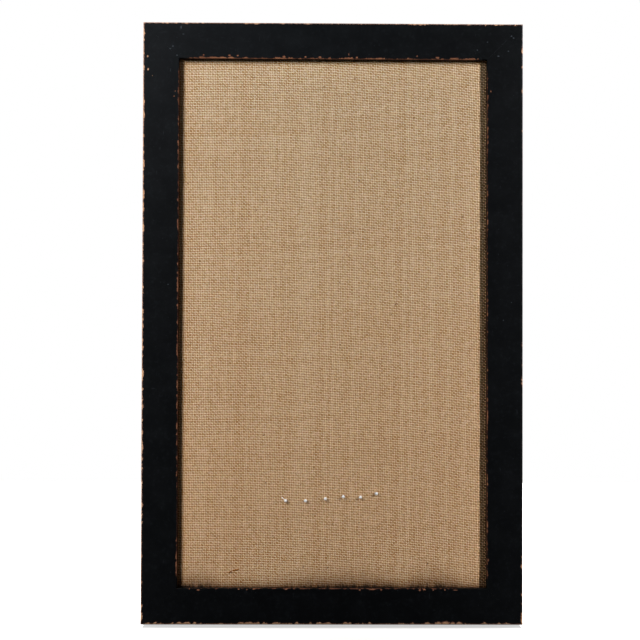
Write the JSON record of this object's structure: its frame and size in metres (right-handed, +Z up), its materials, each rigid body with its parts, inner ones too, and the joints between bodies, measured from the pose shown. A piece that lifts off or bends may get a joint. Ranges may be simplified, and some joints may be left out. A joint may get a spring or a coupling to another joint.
{
  "type": "fabric bulletin board",
  "caption": "Wall-hung fabric bulletin board: burlap pin panel in a rubbed black mitred wood frame, with ball-head pins, turn-button back and D-ring hangers.",
  "frame": {"origin": "on the wall, midway between the two hanging rings, where the hooks hold the board", "axes": "+Z up along the board, +Y into the wall, +X to the right as seen from the front; the front faces -Y"},
  "size_m": [0.4826, 0.0301, 0.762],
  "materials": {
    "black_paint": "satin",
    "burlap": "matte",
    "fibreboard": "matte",
    "hardboard": "satin",
    "nail_steel": "satin",
    "zinc_steel": "satin",
    "brass_plate": "satin",
    "pin_steel": "polished",
    "pearl_plastic": "gloss",
    "black_rubber": "matte"
  },
  "bodies": {
    "board": {"backing_board": "hardboard", "burlap_cover": "burlap", "corner_nail_bottom_left_1": "nail_steel", "corner_nail_bottom_left_2": "nail_steel", "corner_nail_bottom_right_1": "nail_steel", "corner_nail_bottom_right_2": "nail_steel", "corner_nail_top_left_1": "nail_steel", "corner_nail_top_left_2": "nail_steel", "corner_nail_top_right_1": "nail_steel", "corner_nail_top_right_2": "nail_steel", "frame_bottom_rail": "black_paint", "frame_left_stile": "black_paint", "frame_right_stile": "black_paint", "frame_top_rail": "black_paint", "hanger_screw_left_1": "zinc_steel", "hanger_screw_left_2": "zinc_steel", "hanger_screw_right_1": "zinc_steel", "hanger_screw_right_2": "zinc_steel", "hanger_strap_left": "zinc_steel", "hanger_strap_right": "zinc_steel", "pin_core": "fibreboard", "turn_button_screw_bottom": "zinc_steel", "turn_button_screw_left_lower": "zinc_steel", "turn_button_screw_left_upper": "zinc_steel", "turn_button_screw_right_lower": "zinc_steel", "turn_button_screw_right_upper": "zinc_steel", "turn_button_screw_top": "zinc_steel", "wall_bumper_left": "black_rubber", "wall_bumper_right": "black_rubber"},
    "pin_1": {"pin_head_1": "pearl_plastic", "pin_shaft_1": "pin_steel"},
    "pin_2": {"pin_head_2": "pearl_plastic", "pin_shaft_2": "pin_steel"},
    "pin_3": {"pin_head_3": "pearl_plastic", "pin_shaft_3": "pin_steel"},
    "pin_4": {"pin_head_4": "pearl_plastic", "pin_shaft_4": "pin_steel"},
    "pin_5": {"pin_head_5": "pearl_plastic", "pin_shaft_5": "pin_steel"},
    "pin_6": {"pin_head_6": "pearl_plastic", "pin_shaft_6": "pin_steel"},
    "ring_left": {"hanger_ring_left": "zinc_steel"},
    "ring_right": {"hanger_ring_right": "zinc_steel"},
    "button_top": {"turn_button_top": "brass_plate"},
    "button_bottom": {"turn_button_bottom": "brass_plate"},
    "button_left_upper": {"turn_button_left_upper": "brass_plate"},
    "button_left_lower": {"turn_button_left_lower": "brass_plate"},
    "button_right_upper": {"turn_button_right_upper": "brass_plate"},
    "button_right_lower": {"turn_button_right_lower": "brass_plate"}
  },
  "joints": [
    {"name": "pin_1_pull", "type": "slide", "parent": "board", "child": "pin_1", "axis": [0.6554, -0.4915, -0.5735], "range_m": [-0.0024, 0.022]},
    {"name": "pin_2_pull", "type": "slide", "parent": "board", "child": "pin_2", "axis": [0.0825, -0.9905, -0.1101], "range_m": [-0.0011, 0.022]},
    {"name": "pin_3_pull", "type": "slide", "parent": "board", "child": "pin_3", "axis": [0.0261, -0.9402, -0.3395], "range_m": [-0.001, 0.022]},
    {"name": "pin_4_pull", "type": "slide", "parent": "board", "child": "pin_4", "axis": [0.2606, -0.7216, -0.6414], "range_m": [-0.0016, 0.022]},
    {"name": "pin_5_pull", "type": "slide", "parent": "board", "child": "pin_5", "axis": [-0.215, -0.9673, -0.1344], "range_m": [-0.001, 0.022]},
    {"name": "pin_6_pull", "type": "slide", "parent": "board", "child": "pin_6", "axis": [-0.0828, -0.9931, -0.0828], "range_m": [-0.0011, 0.022]},
    {"name": "ring_left_swing", "type": "hinge", "parent": "board", "child": "ring_left", "pos_m": [-0.22155, -0.0026, 0], "axis": [1, 0, 0], "range_deg": [0, 175]},
    {"name": "ring_right_swing", "type": "hinge", "parent": "board", "child": "ring_right", "pos_m": [0.22155, -0.0026, 0], "axis": [1, 0, 0], "range_deg": [0, 175]},
    {"name": "button_top_turn", "type": "hinge", "parent": "board", "child": "button_top", "pos_m": [0, -0.0044, 0.0595], "axis": [0, 1, 0], "continuous": true},
    {"name": "button_bottom_turn", "type": "hinge", "parent": "board", "child": "button_bottom", "pos_m": [0, -0.0044, -0.6415], "axis": [0, 1, 0], "continuous": true},
    {"name": "button_left_upper_turn", "type": "hinge", "parent": "board", "child": "button_left_upper", "pos_m": [-0.2108, -0.0044, -0.105], "axis": [0, 1, 0], "continuous": true},
    {"name": "button_left_lower_turn", "type": "hinge", "parent": "board", "child": "button_left_lower", "pos_m": [-0.2108, -0.0044, -0.477], "axis": [0, 1, 0], "continuous": true},
    {"name": "button_right_upper_turn", "type": "hinge", "parent": "board", "child": "button_right_upper", "pos_m": [0.2108, -0.0044, -0.105], "axis": [0, 1, 0], "continuous": true},
    {"name": "button_right_lower_turn", "type": "hinge", "parent": "board", "child": "button_right_lower", "pos_m": [0.2108, -0.0044, -0.477], "axis": [0, 1, 0], "continuous": true}
  ]
}
